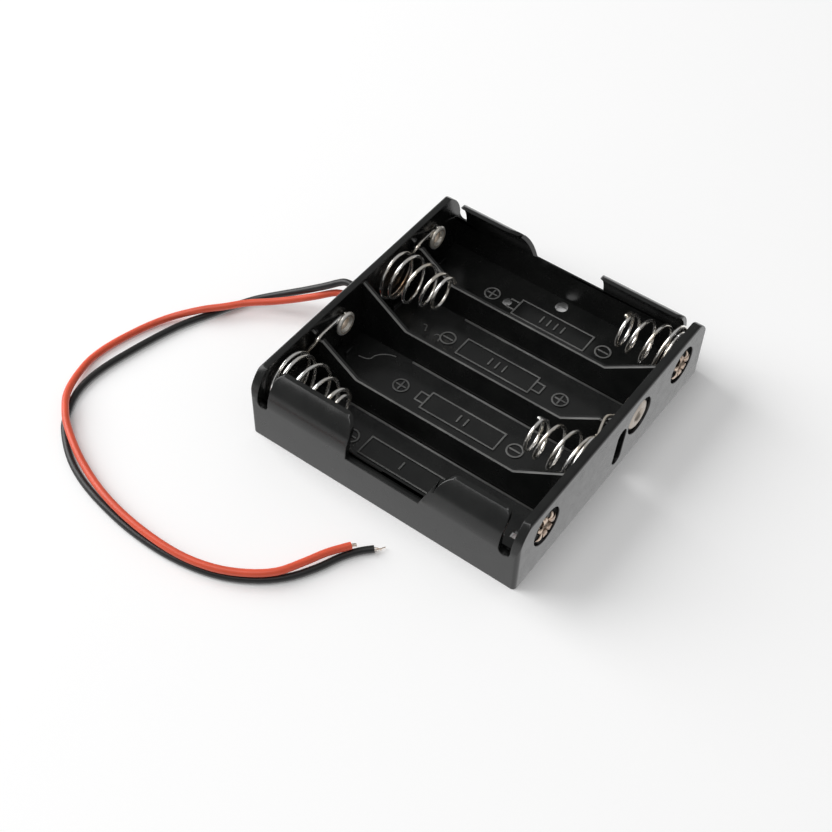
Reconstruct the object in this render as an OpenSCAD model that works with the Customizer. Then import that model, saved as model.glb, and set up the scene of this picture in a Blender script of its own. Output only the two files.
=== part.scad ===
// Open holder for four cylindrical cells laid side by side, with riveted spring contacts
// and two loose connecting leads.
// Frame: X runs along the cells, Y across them, Z up. The origin is the middle of the base.

/* [Cells] */
// Diameter of one cell
cell_d = 14.5; // [14:0.1:14.8]
// Length of one cell over its button
cell_l = 50.5; // [49:0.1:51]
// Distance from one cell's axis to the next
cell_pitch = 15.1; // [15:0.1:16.5]

/* [Tray] */
// Length of the tray over its end walls
tray_l = 57.5; // [57:0.5:60]
// Height of the end walls
tray_h = 15.2; // [14.8:0.1:16]
// Thickness of an end wall
end_wall = 1.7; // [1.5:0.1:2.2]
// Thickness of a side wall
side_wall = 1.3; // [1:0.1:1.8]
// Outer radius of the side walls' round shoulders, so that they thin out to the top
shoulder_r = 7; // [6.5:0.25:8.5]
// Room between a cell and the side wall
cell_clear = 0.1; // [0.05:0.05:0.3]
// Thickness of the floor
floor_t = 1.2; // [1:0.1:1.6]
// Height of the hollow under the floor
floor_gap = 0.6; // [0.3:0.1:0.8]
// Radius of the upright outer corners
corner_r = 0.8; // [0.4:0.2:3]
// Radius along the top outer edge of an end wall
top_edge_r = 0.7; // [0.3:0.1:1]
// Width of the rim that the tray stands on
rim_w = 1.8; // [1.2:0.1:3]

/* [Ribs] */
// Thickness of a rib between two cells
rib_t = 1; // [0.8:0.1:1.4]
// Thickness of a rib where it meets the floor
rib_foot = 2.4; // [1.6:0.1:3]
// Height of the ribs along the middle
rib_low_h = 7.5; // [6:0.5:9]
// Height of the ribs at the end walls
rib_end_h = 14.5; // [12:0.5:14.5]
// Length of the sloping end of a rib
rib_slope_l = 10; // [8:0.5:12]

/* [Side walls] */
// Height of the open middle of a side wall
side_low_h = 8.2; // [7:0.2:9]
// Distance from mid length to the upright end of the opening
gap_square_x = 7.2; // [5:0.2:10]
// Distance from mid length to the foot of the sloping end of the opening
gap_slope_x = 8.4; // [6:0.2:11]
// How far the sloping end leans outwards on its way up
gap_lean = 3; // [1:0.2:5]
// Width of the slits beside the end walls
slit_w = 2.3; // [1.5:0.1:3]

/* [Floor] */
// Diameter of the two screw holes beside the side walls
screw_hole_d = 2.5; // [2:0.1:2.7]
// Distance of a screw hole's middle from the tray's side
screw_edge = 3.3; // [3.1:0.1:4]
// Diameter of the two vent holes
vent_d = 1.8; // [1:0.1:2]
// Height of the raised markings
mark_h = 0.25; // [0.15:0.05:0.4]
// Width of the raised lines
mark_w = 0.4; // [0.3:0.05:0.6]
// Distance of the pole signs from mid length
sign_x = 12.8; // [12:0.2:14]
// Diameter of the ring around a pole sign
sign_d = 3.4; // [2.6:0.1:4]
// Length of the drawn cell's body
drawn_l = 16.8; // [14:0.2:18]
// Width of the drawn cell's body
drawn_w = 4.8; // [4:0.2:7]

/* [Contacts] */
// Diameter of the contact wire
wire_d = 0.7; // [0.5:0.05:0.8]
// Middle radius of a spring's first coil, against the wall
base_coil_r = 5; // [4.5:0.1:5.2]
// Middle radius of a spring's last coil
end_coil_r = 3; // [2.6:0.1:3.6]
// Rise of each open coil
coil_pitch = 3.1; // [2.6:0.1:3.2]
// Outer diameter of an eyelet's barrel
barrel_d = 3; // [2.6:0.1:3.2]
// Diameter of an eyelet's bore
eyelet_bore = 2.2; // [1.8:0.1:2.2]
// Diameter of an eyelet's rolled head
head_d = 5.2; // [4.8:0.1:5.4]
// Thickness of an eyelet's rolled head
head_t = 0.6; // [0.5:0.05:0.8]
// Diameter of the spread tail of an eyelet
tail_d = 6.4; // [5.6:0.1:6.6]
// Thickness of a spread tail cut to a star
tail_t = 0.35; // [0.3:0.05:0.45]
// Thickness of a rolled tail
tail_roll = 0.8; // [0.5:0.05:0.85]
// Diameter of the recess around a tail
recess_d = 7.6; // [7.2:0.1:8]
// Depth of the recess around a tail
recess_depth = 0.9; // [0.8:0.05:1]
// Thickness of a solder tag
tag_t = 0.4; // [0.3:0.05:0.5]
// Clearance of an eyelet's barrel in its hole
barrel_fit = 0.05; // [0.02:0.01:0.1]

/* [Leads] */
// Diameter of a lead over its insulation
lead_d = 1.4; // [1.2:0.1:1.4]
// Diameter of a lead's bundle of strands
core_d = 0.6; // [0.4:0.1:0.7]
// Clearance on each side of a lead in its channel
channel_fit = 0.1; // [0.05:0.05:0.2]
// Width of the slot that the leads leave through
exit_w = 2.2; // [2:0.1:2.4]
// Height of the foot of that slot above the base
exit_foot = 3; // [2.8:0.1:3.4]
// Height of the head of that slot above the base
exit_head = 10.2; // [10:0.1:11]

/* [Hidden] */

cells = 4;
eps = 0.01;
seat = 0.02;                      // running gap between two faces that touch on the real thing
bay_r = cell_d / 2 + cell_clear;  // radius of the side wall's inner face around a cell
span_y = (cells - 1) * cell_pitch;
tray_w = span_y + 2 * (bay_r + side_wall);
floor_z = floor_gap + floor_t;
axis_z = floor_z + cell_d / 2;
out_x = tray_l / 2;
in_x = out_x - end_wall;
out_y = tray_w / 2;
wire_r = wire_d / 2;
bed_x = in_x - wire_r - seat;          // middle of a wire that lies against an end wall
ring_r = barrel_d / 2 + wire_r + barrel_fit;
round_fn = 48;

function cell_y(n) = (n - (cells + 1) / 2) * cell_pitch;  // n counts from 1
function rib_y(n) = (n - cells / 2) * cell_pitch;         // rib between cells n and n + 1
function rib_top(x) = // height of a rib's upper edge at distance x from mid length
    let (t = (abs(x) - (in_x - rib_slope_l)) / rib_slope_l)
    rib_low_h + (rib_end_h - rib_low_h) * min(1, max(0, t));

// ---------- curves ----------

function unit(v) = v / norm(v);
function heading(p, i) = unit(p[min(i + 1, len(p) - 1)] - p[max(i - 1, 0)]);
function across(n, t) = unit(n - (n * t) * t);
function first_normal(t) = unit(cross(t, abs(t[2]) < 0.9 ? [0, 0, 1] : [1, 0, 0]));
function normals(p) = [for (i = 0, n = first_normal(heading(p, 0)); i < len(p);
                            i = i + 1, n = across(n, heading(p, min(i, len(p) - 1)))) n];

// Round tube through the points p
module tube(p, d, sides = 8) {
    n = normals(p);
    points = [for (i = [0 : len(p) - 1], k = [0 : sides - 1])
        let (b = cross(heading(p, i), n[i]), a = 360 * k / sides)
        p[i] + d / 2 * (cos(a) * n[i] + sin(a) * b)];
    last = (len(p) - 1) * sides;
    walls = [for (i = [0 : len(p) - 2], k = [0 : sides - 1])
        let (a = i * sides + k, b = i * sides + (k + 1) % sides)
        each [[a, a + sides, b], [b, a + sides, b + sides]]];
    near_end = [for (k = [0 : sides - 1]) k];
    far_end = [for (k = [sides - 1 : -1 : 0]) last + k];
    polyhedron(points = points, faces = concat([near_end], walls, [far_end]), convexity = 10);
}

// Smooth curve through hand-set points, with steps pieces between two of them
function curve_at(a, b, c, d, t) = 0.5 * (2 * b + (c - a) * t + (2 * a - 5 * b + 4 * c - d) * t * t
    + (3 * b - a - 3 * c + d) * t * t * t);
function smooth(p, steps) = concat(
    [for (i = [0 : len(p) - 2], s = [0 : steps - 1])
        curve_at(p[max(i - 1, 0)], p[i], p[i + 1], p[min(i + 2, len(p) - 1)], s / steps)],
    [p[len(p) - 1]]);

// Arc around the axis of a contact, at distance x from mid length
function arc(cy, cz, r, x, a0, a1, n) = [for (i = [0 : n])
    let (a = a0 + (a1 - a0) * i / n) [x, cy + r * cos(a), cz + r * sin(a)]];

// Conical spring: one closed coil, the open coils and one closed coil.
// side is -1 at the left end wall and 1 at the right one; all are wound the same way.
open_turns = 3;
coil_steps = 16;
closed_rise = wire_d + 0.05;
spring_l = 2 * closed_rise + open_turns * coil_pitch;
function rise(t) = closed_rise * min(t, 1)
    + coil_pitch * min(max(t - 1, 0), open_turns)
    + closed_rise * max(t - 1 - open_turns, 0);
function taper(t) = min(max(t - 1, 0) / open_turns, 1);
function cone_r(n, t) = base_r(n) + (end_r(n) - base_r(n)) * taper(t);
function spring(side, n, x, a0) = [for (i = [0 : (2 + open_turns) * coil_steps])
    let (t = i / coil_steps, a = a0 + side * 360 * t)
    [side * (x - rise(t)), spring_y(n) + spring_lean[n - 1] * taper(t) + cone_r(n, t) * cos(a),
     spring_z(n) + spring_lean[n - 1] * taper(t) + cone_r(n, t) * sin(a)]];

// ---------- tray ----------

module along_x(l) rotate([90, 0, 90]) linear_extrude(height = l, center = true) children();
module along_y(l) rotate([90, 0, 0]) linear_extrude(height = l, center = true) children();
module at_end(side, x) translate([side * x, 0, 0]) rotate([0, side * 90, 0]) children();

// Cross-section of a trough with a straight lower part and round shoulders
module trough(r, z0) {
    translate([-span_y / 2 - r, z0]) square([span_y + 2 * r, axis_z - z0]);
    translate([-span_y / 2, z0]) square([span_y, tray_h + 1 - z0]);
    for (s = [-1, 1]) translate([s * span_y / 2, axis_z]) circle(r = r, $fn = round_fn);
}

// The same from outside, where the shoulders are a little tighter than in the bays
module outline() {
    shoulder_y = out_y - shoulder_r;
    translate([-out_y, 0]) square([2 * out_y, axis_z]);
    translate([-shoulder_y, 0]) square([2 * shoulder_y, tray_h + 1]);
    for (s = [-1, 1]) translate([s * shoulder_y, axis_z]) circle(r = shoulder_r, $fn = round_fn);
}

module rounded_plan(l, w, r) {
    square([l - 2 * r, w], center = true);
    square([l, w - 2 * r], center = true);
    for (x = [-1, 1], y = [-1, 1])
        translate([x * (l / 2 - r), y * (w / 2 - r)]) circle(r = r, $fn = round_fn);
}

module shell() {
    intersection() {
        linear_extrude(height = tray_h) rounded_plan(tray_l, tray_w, corner_r);
        along_x(tray_l) outline();
    }
}

module cavity() {
    intersection() {
        along_x(2 * in_x) trough(bay_r, floor_z);
        translate([0, 0, floor_z]) linear_extrude(height = tray_h)
            square([2 * in_x, tray_w], center = true);
    }
}

// Hollow under the floor, inside the rim
module under_floor() {
    translate([0, 0, -eps]) linear_extrude(height = floor_gap + eps)
        rounded_plan(tray_l - 2 * rim_w, tray_w - 2 * rim_w, corner_r);
}

module rib(n) {
    low_x = in_x - rib_slope_l;
    translate([0, rib_y(n), 0]) intersection() {
        along_y(cell_pitch)
            polygon([[-in_x - eps, floor_z - eps], [in_x + eps, floor_z - eps],
                     [in_x + eps, rib_end_h], [in_x, rib_end_h], [low_x, rib_low_h],
                     [-low_x, rib_low_h], [-in_x, rib_end_h], [-in_x - eps, rib_end_h]]);
        along_x(tray_l)
            polygon([[-rib_foot / 2, floor_z - eps], [rib_foot / 2, floor_z - eps],
                     [rib_t / 2, rib_low_h], [rib_t / 2, tray_h], [-rib_t / 2, tray_h],
                     [-rib_t / 2, rib_low_h]]);
    }
}

// Opening in one side wall; the other side has the same, turned half round
flap_round = 1.3;    // radius of the flaps' top corners
flap_square_r = 2.6; // the same at the square end of the near opening
flap_slope_r = 3;    // the same at the sloping end of the opening
module side_gap(square_r) {
    reach = 2 * (out_y - span_y / 2);
    top_z = tray_h + 1;
    lean_top = gap_slope_x + gap_lean;
    slit_x = in_x - slit_w;
    translate([0, -out_y, 0]) {
        along_y(reach) polygon([[-gap_square_x, side_low_h], [gap_slope_x, side_low_h],
                                [lean_top, tray_h], [lean_top, top_z], [-gap_square_x, top_z]]);
        along_y(reach) flap_corner(-gap_square_x, -1, square_r);
        along_y(reach) flap_corner(lean_top - 0.5, 1, flap_slope_r);
        for (s = [-1, 1]) {
            translate([s * (in_x - slit_w / 2), 0, side_low_h + slit_w / 2]) {
                along_y(reach) circle(d = slit_w, $fn = round_fn);
                along_y(reach) translate([-slit_w / 2, 0]) square([slit_w, top_z]);
            }
            along_y(reach) flap_corner(s * slit_x, -s, flap_round);
        }
    }
}

// What a round top corner takes off a flap that reaches from x to the side that way points to
module flap_corner(x, way, r) {
    translate([x, tray_h - r]) scale([way, 1]) difference() {
        translate([-eps, 0]) square([r + eps, r + 1]);
        translate([r, 0]) circle(r = r, $fn = round_fn);
    }
}

// Rounds the top outer edge of an end wall
module top_round() {
    translate([out_x - top_edge_r, 0, tray_h - top_edge_r]) difference() {
        along_y(tray_w + 2) square(top_edge_r + 1);
        along_y(tray_w + 3) circle(r = top_edge_r, $fn = round_fn);
    }
}

// Hole for a barrel, with its recess from the outside
module contact_hole(side, at) {
    translate([0, at[0], at[1]]) {
        at_end(side, in_x - 1) cylinder(d = barrel_d + 2 * barrel_fit, h = end_wall + 2,
                                        $fn = round_fn);
        at_end(side, out_x - recess_depth) cylinder(d = recess_d, h = recess_depth + 1,
                                                    $fn = round_fn);
    }
}

exit_y = exit_w / 2 + 0.15;  // middle of the lead slot, beside the middle rib
exit_lean = 0.35;            // how far the slot's two ends lean apart
blind_spare = 0.35;          // how much larger the right wall's slot is all round
module exit_slot(side, spare) {
    w = exit_w + 2 * spare;
    lower = [exit_y - exit_lean, exit_foot + exit_w / 2 - spare];
    upper = [exit_y + exit_lean, exit_head - exit_w / 2];
    translate([side * (out_x - end_wall / 2), 0, 0]) {
        along_x(end_wall + 1) {
            translate(lower) circle(d = w, $fn = round_fn);
            translate(upper) circle(d = w, $fn = round_fn);
            polygon([lower - [w / 2, 0], lower + [w / 2, 0],
                     upper + [w / 2, 0], upper - [w / 2, 0]]);
        }
    }
}

// Notch in the sloping end of a rib for a wire that crosses it
notch_depth = wire_d;
notch_w = 2 * wire_d;
module wire_notch(n, x) {
    translate([x - notch_w / 2, rib_y(n) - rib_foot / 2, rib_top(x) - notch_depth])
        cube([notch_w, rib_foot, tray_h]);
}

// Raised markings on the floor of one cell's bay; turn is 1 where the button points left
module ring_sign(x, plus) {
    translate([x, 0, 0]) linear_extrude(height = mark_h + eps) {
        difference() {
            circle(d = sign_d, $fn = round_fn);
            circle(d = sign_d - 2 * mark_w, $fn = round_fn);
        }
        square([sign_d - 2.4 * mark_w, mark_w], center = true);
        if (plus) square([mark_w, sign_d - 2.4 * mark_w], center = true);
    }
}

nub_l = 1.9;        // length of the drawn button
nub_w = 2.6;        // width of the drawn button
drawn_x = 1.3;      // how far the drawn body stands off mid length, away from its button
module drawn_cell() {
    linear_extrude(height = mark_h + eps) {
        translate([drawn_x, 0]) difference() {
            square([drawn_l, drawn_w], center = true);
            square([drawn_l - 2 * mark_w, drawn_w - 2 * mark_w], center = true);
        }
        translate([drawn_x - drawn_l / 2 - nub_l / 2 + mark_w / 2, 0]) difference() {
            square([nub_l + mark_w, nub_w], center = true);
            square([nub_l - mark_w, nub_w - 2 * mark_w], center = true);
        }
    }
}

// Plain tally bars inside the drawn cell: as many as the cell's number
tally_gap = 1.6;
tally_h = 2;
module tally(n) {
    linear_extrude(height = mark_h + eps)
        for (i = [1 : n])
            translate([drawn_x + (i - (n + 1) / 2) * tally_gap, 0])
                square([mark_w, tally_h], center = true);
}

module markings(n) {
    turn = n % 2 == 0 ? 1 : -1;
    translate([0, cell_y(n), floor_z - eps]) rotate([0, 0, turn > 0 ? 0 : 180]) {
        ring_sign(-sign_x, true);
        ring_sign(sign_x, false);
        drawn_cell();
        tally(n);
    }
}

// Low stops on the floor in front of the end walls
stop_t = 0.6;
stop_w = 2.4;
stop_h = 1;
stop_x = in_x - 2 * wire_d;
stop_off = 0.8;    // the stops stand a little beside the middle of the bay
module foot_stops() {
    for (n = [1 : cells])
        translate([-stop_x - stop_t / 2, cell_y(n) + stop_off - stop_w / 2, floor_z - eps])
            cube([stop_t, stop_w, stop_h]);
    for (n = [2, 3])
        translate([stop_x - stop_t / 2, cell_y(n) - stop_off - stop_w / 2, floor_z - eps])
            cube([stop_t, stop_w, stop_h]);
}

// Channels under the floor, and the holes where the leads pass through it
channel_w = lead_d + 2 * channel_fit;
channel_z = lead_d + channel_fit;        // roof of the channels
bend_room = channel_w + 2;               // width of a channel where its lead bends
run_z = channel_z - lead_d / 2 - 0.05;   // height of a lead's middle in its channel
turn_x = in_x - 2.1;                     // where a lead comes up beside its tag
run_x = in_x - 8;                        // where a channel joins the rib above it
rise_in_x = in_x - 2.7;                  // where the black lead rises to the exit
rise_out_x = rise_in_x + lead_d + 2 * channel_fit;   // where the red lead rises
exit_run_y = exit_y + 0.25;              // line of the leads behind the middle rib
function run_y(n) = rib_y(n);            // a channel lies under a rib

module groove(a, b) {
    way = b - a;
    translate([a[0], a[1], -eps]) {
        cylinder(d = bend_room, h = channel_z + eps, $fn = round_fn);
        rotate([0, 0, atan2(way[1], way[0])])
            translate([0, -channel_w / 2, 0]) cube([norm(way), channel_w, channel_z + eps]);
    }
}

module lead_channels() {
    for (side = [-1, 1]) {
        n = side < 0 ? 1 : cells - 1;
        groove([run_x, run_y(n)], [turn_x, side * span_y / 2]);
        groove([run_x, run_y(n)], [-run_x, run_y(n)]);
        groove([-run_x, run_y(n)], [side < 0 ? -rise_out_x : -rise_in_x, exit_run_y]);
        translate([turn_x - lead_d / 4, side * span_y / 2, floor_z / 2])
            cube([2 * lead_d + channel_w, channel_w, floor_z + 1], center = true);
    }
    hole_l = rise_out_x - rise_in_x + channel_w;
    translate([-(rise_in_x + rise_out_x + hole_l) / 2, exit_run_y - channel_w / 2, -eps])
        cube([hole_l, channel_w, rib_low_h]);
    translate([-rise_in_x - channel_w / 2, exit_run_y, -eps])
        cube([channel_w, channel_w, floor_z + 1]);
}

module tray() {
    color([0.09, 0.09, 0.095]) difference() {
        union() {
            difference() {
                shell();
                cavity();
                for (r = [0, 180]) rotate([0, 0, r]) {
                    side_gap(r == 0 ? flap_square_r : flap_round);
                    top_round();
                }
            }
            for (n = [1 : cells - 1]) rib(n);
            for (n = [1 : cells]) markings(n);
            foot_stops();
        }
        under_floor();
        lead_channels();
        for (n = [2, 4]) contact_hole(-1, left_eyelet(n));
        for (n = [1, 3, 4]) contact_hole(1, on_axis(n));
        for (side = [-1, 1]) exit_slot(side, side > 0 ? blind_spare : 0);
        for (n = [1, 3]) wire_notch(n, -cross_x);
        wire_notch(2, cross_x);
        for (s = [-1, 1]) {
            translate([0, s * (out_y - screw_edge), -eps])
                cylinder(d = screw_hole_d, h = floor_z + 1, $fn = round_fn);
            translate([-s * (sign_x - 3.5), s * span_y / 2, -eps])
                cylinder(d = vent_d, h = floor_z + 1, $fn = round_fn);
        }
    }
}

// ---------- contacts ----------

cross_x = in_x - 1.45;     // where a link crosses its rib, from mid length
drop_gap = 0.7;            // how far behind the rib a link comes down
// For each cell: how far its spring sits beside and above the cell's axis, how far it leans,
// and what its first and last radius add to the common ones
spring_off = [-0.4, 0, 1.3, 1.3];
spring_up = [0, 0, 0.4, 0];
spring_lean = [0, 0, 0.7, 0];
base_grow = [0, -0.2, 0.2, -0.2];
end_grow = [0, 0.2, 0, 0.4];
// How far each eyelet sits beside its cell's axis, and how far above
eyelet_off = [0, 0.4, 0, -0.6];
eyelet_up = 0.7;

function spring_y(n) = cell_y(n) + spring_off[n - 1];
function spring_z(n) = axis_z + spring_up[n - 1];
function on_axis(n) = [cell_y(n), axis_z];
function left_eyelet(n) = [cell_y(n) + eyelet_off[n - 1], axis_z + eyelet_up];
function base_r(n) = base_coil_r + base_grow[n - 1];
function end_r(n) = end_coil_r + end_grow[n - 1];
function on_rib(x) = rib_top(x) - notch_depth + wire_r + seat;

// Left wall: ring round eyelet n + 1, over rib n and down to the first coil of spring n
lead_in = 78;              // where a link leaves its ring, up from the side
function left_link(n) = let (y = rib_y(n), z = on_rib(cross_x), eye = left_eyelet(n + 1))
    smooth([[-bed_x, eye[0] - ring_r * cos(lead_in), eye[1] + ring_r * sin(lead_in)],
            [-bed_x + 0.1, eye[0] - ring_r * cos(lead_in) - 1.5,
             eye[1] + ring_r * sin(lead_in) + 0.3],
            [-cross_x - 0.2, y + rib_t / 2 + 0.7, z],
            [-cross_x, y - rib_t / 2 - 0.1, z],
            [-cross_x - 0.3, y - rib_t / 2 - drop_gap, z - 0.9],
            [-bed_x, spring_y(n) + base_r(n), spring_z(n) + 1.6],
            [-bed_x, spring_y(n) + base_r(n), spring_z(n) + 0.6]], 4);

module left_jumper(n) {
    eye = left_eyelet(n + 1);
    color([0.78, 0.77, 0.74]) tube(concat(
        arc(eye[0], eye[1], ring_r, -bed_x, 516 - lead_in, 196 - lead_in, 20),
        left_link(n),
        spring(-1, n, bed_x, 0)), wire_d);
}

// Right wall: ring round eyelet 3, over rib 2 and along the top of the first coil of spring 2
function right_link() = let (y = rib_y(2), z = on_rib(cross_x))
    smooth([[bed_x, cell_y(3) - ring_r * cos(lead_in), axis_z + ring_r * sin(lead_in)],
            [bed_x - 0.2, y + rib_t / 2 + 2, z - 0.8],
            [cross_x + 0.1, y + rib_t / 2 + 0.3, z],
            [cross_x + 0.1, y - rib_t / 2 - 0.1, z],
            [bed_x, spring_y(2) + base_r(2) * cos(50),
             spring_z(2) + base_r(2) * sin(50) + 0.1]], 4);

module jumper_spring_12() { left_jumper(1); }
module jumper_spring_34() { left_jumper(3); }
module jumper_spring_23() {
    color([0.78, 0.77, 0.74]) tube(concat(
        arc(cell_y(3), axis_z, ring_r, bed_x, 516 - lead_in, 196 - lead_in, 20),
        right_link(),
        spring(1, 2, bed_x, 62)), wire_d);
}

// Spring of cell 4: a ring clamped by its rivet opens flat against the wall into the first coil
clamp_x = in_x - tag_t - wire_r - 2 * seat;
function spread(n, x, a0) = [for (i = [0 : coil_steps - 1])
    let (t = i / coil_steps, a = a0 + 360 * t, r = ring_r + (base_r(n) - ring_r) * t)
    [x, cell_y(n) + spring_off[n - 1] * t + r * cos(a),
     axis_z + spring_up[n - 1] * t + r * sin(a)]];
module terminal_spring() {
    color([0.78, 0.77, 0.74]) tube(concat(
        arc(cell_y(4), axis_z, ring_r, clamp_x, 90 - 330, 90 - 22, 20),
        spread(4, clamp_x, 90),
        spring(1, 4, clamp_x, 90)), wire_d);
}

// Eyelet through an end wall: rolled head inside, barrel, and a spread tail in the recess.
// under is the thickness of what the head clamps.
module eyelet(side, at, under, star) {
    tail_x = out_x - recess_depth + seat;
    top_x = in_x - under - seat;          // underside of the head
    translate([0, at[0], at[1]]) at_end(side, 0) difference() {
        union() {
            translate([0, 0, top_x - head_t / 2]) rotate_extrude($fn = round_fn)
                translate([head_d / 2 - head_t / 2, 0]) circle(d = head_t, $fn = 24);
            translate([0, 0, top_x - head_t])
                cylinder(d = head_d - head_t, h = head_t, $fn = round_fn);
            translate([0, 0, top_x - head_t])
                cylinder(d = barrel_d, h = tail_x + tail_t - top_x + head_t, $fn = round_fn);
            translate([0, 0, tail_x])
                if (star) linear_extrude(height = tail_t) star_plan();
                else cylinder(d = tail_d - tail_roll, h = tail_roll, $fn = round_fn);
            if (!star) translate([0, 0, tail_x + tail_roll / 2]) rotate_extrude($fn = round_fn)
                translate([(tail_d - tail_roll) / 2, 0]) circle(d = tail_roll, $fn = 24);
        }
        translate([0, 0, top_x - head_t - 1]) cylinder(d = eyelet_bore, h = tray_l,
                                                       $fn = round_fn);
        translate([0, 0, top_x - head_t - eps])
            cylinder(d1 = eyelet_bore + head_t, d2 = eyelet_bore, h = head_t / 2,
                     $fn = round_fn);
    }
}

star_points = 7;
module star_plan() {
    polygon([for (i = [0 : 2 * star_points - 1])
        let (a = 180 * i / star_points, r = i % 2 == 0 ? tail_d / 2 : barrel_d / 2 + 0.6)
        [r * cos(a), r * sin(a)]]);
}

module eyelet_left_2() { color([0.8, 0.78, 0.72]) eyelet(-1, left_eyelet(2), wire_d + seat, false); }
module eyelet_left_4() { color([0.8, 0.78, 0.72]) eyelet(-1, left_eyelet(4), wire_d + seat, false); }
module eyelet_right_3() { color([0.8, 0.78, 0.72]) eyelet(1, on_axis(3), wire_d + seat, false); }
module star_rivet_right_1() {
    color([0.8, 0.72, 0.66]) eyelet(1, on_axis(1), tag_t + seat, true);
}
module star_rivet_right_4() {
    color([0.8, 0.72, 0.66]) eyelet(1, on_axis(4), tag_t + wire_d + 2 * seat, true);
}

// Tag round a barrel, with a tail that reaches down to its lead
tag_w = 2;
tag_x = in_x - seat - tag_t;
tag_end_z = floor_z + 0.4;
module tag(n) {
    translate([tag_x, cell_y(n), 0]) rotate([90, 0, 90]) linear_extrude(height = tag_t)
        difference() {
            union() {
                translate([0, axis_z]) circle(d = barrel_d + 1.6, $fn = round_fn);
                translate([-tag_w / 2, tag_end_z]) square([tag_w, axis_z - tag_end_z]);
            }
            translate([0, axis_z]) circle(d = barrel_d + 2 * barrel_fit, $fn = round_fn);
        }
}
module solder_tag_red() { color([0.75, 0.74, 0.7]) tag(1); }
module solder_tag_black() { color([0.75, 0.74, 0.7]) tag(4); }

// Drop of solder on a tag, round the stripped end of its lead
solder_r = 0.7;
solder_z = tag_end_z + solder_r + 0.05;
core_x = tag_x - core_d / 2 - 0.1;
core_top = solder_z + 0.3;
module solder(n) {
    translate([0, cell_y(n), 0]) difference() {
        translate([core_x, 0, solder_z]) sphere(r = solder_r, $fn = round_fn);
        translate([tag_x - seat, -tag_w / 2, 0]) cube([end_wall, tag_w, tray_h]);
        translate([core_x, 0, 0]) cylinder(d = core_d + 2 * seat, h = core_top + seat,
                                           $fn = round_fn);
    }
}
module solder_joint_red() { color([0.7, 0.7, 0.7]) solder(1); }
module solder_joint_black() { color([0.7, 0.7, 0.7]) solder(4); }

// ---------- leads ----------

// Part of a lead that the tray holds: up to its tag, and under the floor to the slot
strip_z = run_z + 0.9;      // where the insulation ends below a tag
module held_run(n, points) {
    tube(points, lead_d);
    translate([0, cell_y(n), 0])
        tube([[turn_x, 0, strip_z - 0.2], [turn_x + 0.3, 0, strip_z + 0.3],
              [core_x - 0.3, 0, tag_end_z - 0.2], [core_x, 0, tag_end_z + 0.2],
              [core_x, 0, core_top]], core_d);
}
function under_floor_run(n, side, x) =
    [[turn_x, cell_y(n), strip_z], [turn_x - 0.1, cell_y(n), run_z + 0.5],
     [turn_x - 0.6, cell_y(n) - side * 0.8, run_z],
     [run_x + 1, run_y(side < 0 ? 1 : 3) + side * 1.3, run_z],
     [run_x - 1, run_y(side < 0 ? 1 : 3), run_z],
     [0, run_y(side < 0 ? 1 : 3), run_z],
     [-run_x + 1, run_y(side < 0 ? 1 : 3), run_z],
     [-run_x - 0.4, run_y(side < 0 ? 1 : 3) - side * 1, run_z],
     [-x + 0.9, exit_run_y + side * 2.2, run_z],
     [-x + 0.3, exit_run_y + side * 0.75, run_z],
     [-x, exit_run_y + side * 0.05, run_z + 0.2],
     [-x, exit_run_y, run_z + 1]];
function red_run() = smooth(concat(under_floor_run(1, -1, rise_out_x),
    [[-rise_out_x, exit_run_y, 4.4], [-rise_out_x - 0.4, exit_run_y - 0.1, 5.7],
     [-in_x - 0.1, exit_y, red_z - 0.1], [-in_x - 0.9, exit_y, red_z], [-out_x, exit_y, red_z]]), 3);
function black_run() = smooth(concat(under_floor_run(4, 1, rise_in_x),
    [[-rise_in_x, exit_run_y, 5], [-rise_in_x - 0.1, exit_run_y, 7.4],
     [-rise_in_x - 1.1, exit_run_y, 8.9], [-in_x, exit_y + 0.3, black_z],
     [-in_x - 0.8, exit_y + 0.3, black_z], [-out_x, exit_y + 0.3, black_z]]), 3);
red_z = 6.4;
black_z = 9.3;

// Free lengths of the two leads, from the wall to their ends on the table
red_route = [
    [-out_x - seat, exit_y, red_z], [-29.8, 1.25, 6.4], [-31.5, 1.2, 6.6],
    [-34.5, 0.8, 6.3], [-38, -1.8, 5.2],
    [-41.5, -4.2, 4.1], [-45, -6.5, 3.2], [-49, -9.3, 2.6], [-52, -12.6, 2.4],
    [-55.3, -15.9, 2.1], [-59.7, -20.9, 1], [-62.5, -27.7, 0.7], [-64, -35.5, 0.7],
    [-63, -41.2, 1.2], [-60.6, -46.5, 2], [-57.5, -50, 2.3], [-54.4, -52.4, 2.2],
    [-48.6, -55.6, 1.9], [-42, -58.2, 1.8], [-35.4, -59.9, 2], [-27.9, -60.8, 2.1],
    [-20.1, -60.7, 2.1], [-13.6, -59.3, 2.2], [-8.4, -56.7, 2.2], [-4.5, -53.4, 2.2],
    [-2.2, -49.1, 2], [-0.3, -45.2, 2], [2.1, -41.6, 2]];
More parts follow.
